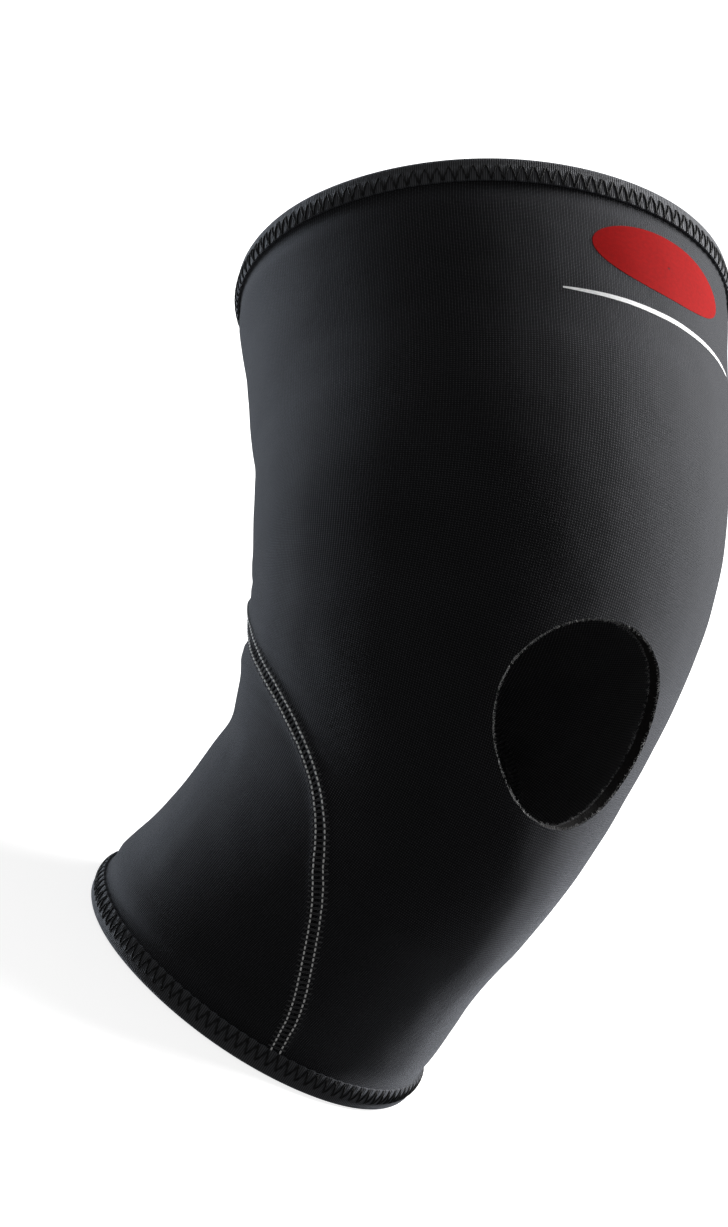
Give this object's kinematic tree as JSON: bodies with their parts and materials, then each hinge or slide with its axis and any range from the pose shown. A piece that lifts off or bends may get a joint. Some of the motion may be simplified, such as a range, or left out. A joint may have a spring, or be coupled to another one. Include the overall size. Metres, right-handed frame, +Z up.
{
  "type": "open-patella knee sleeve",
  "caption": "Pull-on knee sleeve of black foam laminate, sewn to a bent-knee shape, with a round kneecap opening, flat side seams and bound hems.",
  "frame": {"origin": "centre of the lower (calf) hem, in the plane of its foot", "axes": "+Z up along the calf, -Y to the front (kneecap), +X to the medial side; the thigh half leans back towards +Y by 55 degrees at rest"},
  "size_m": [0.1454, 0.2065, 0.2517],
  "materials": {
    "jersey": "matte fine knit",
    "foam": "matte closed-cell foam",
    "lining": "matte knit",
    "binding": "ribbed knit tape",
    "needle_thread": "matte thread",
    "cover_thread": "matte thread",
    "red_print": "flat heat-transfer print",
    "white_print": "flat heat-transfer print",
    "label": "satin tape"
  },
  "bodies": {
    "calf": {"calf_hem_binding": "binding", "calf_hem_zigzag": "cover_thread", "calf_front_face": "jersey", "calf_front_core": "foam", "calf_front_lining": "lining", "calf_rear_face": "jersey", "calf_rear_core": "foam", "calf_rear_lining": "lining", "calf_lateral_needles": "needle_thread", "calf_lateral_cover": "cover_thread", "calf_lateral_looper": "cover_thread", "calf_medial_needles": "needle_thread", "calf_medial_cover": "cover_thread", "calf_medial_looper": "cover_thread", "knee_front_face": "jersey", "knee_front_core": "foam", "knee_front_lining": "lining", "knee_rear_face": "jersey", "knee_rear_core": "foam", "knee_rear_lining": "lining", "knee_lateral_needles": "needle_thread", "knee_lateral_cover": "cover_thread", "knee_lateral_looper": "cover_thread", "knee_medial_needles": "needle_thread", "knee_medial_cover": "cover_thread", "knee_medial_looper": "cover_thread", "knee_back_needles": "needle_thread", "knee_back_cover": "cover_thread", "knee_back_looper": "cover_thread"},
    "thigh": {"thigh_face": "jersey", "thigh_core": "foam", "thigh_lining": "lining", "thigh_back_needles": "needle_thread", "thigh_back_cover": "cover_thread", "thigh_back_looper": "cover_thread", "thigh_hem_binding": "binding", "thigh_hem_zigzag": "cover_thread", "mark_print": "red_print", "line_print": "white_print", "care_label": "label"}
  },
  "joints": [
    {"name": "knee_flexion", "type": "hinge", "parent": "calf", "child": "thigh", "pos_m": [0, 0.01379, 0.11678], "axis": [-1, 0, 0], "range_deg": [-55, 55], "stiffness_Nm_per_rad": 1.8, "deforming": ["knee_front_face", "knee_front_core", "knee_front_lining", "knee_rear_face", "knee_rear_core", "knee_rear_lining", "knee_lateral_needles", "knee_lateral_cover", "knee_lateral_looper", "knee_medial_needles", "knee_medial_cover", "knee_medial_looper", "knee_back_needles", "knee_back_cover", "knee_back_looper"]}
  ]
}
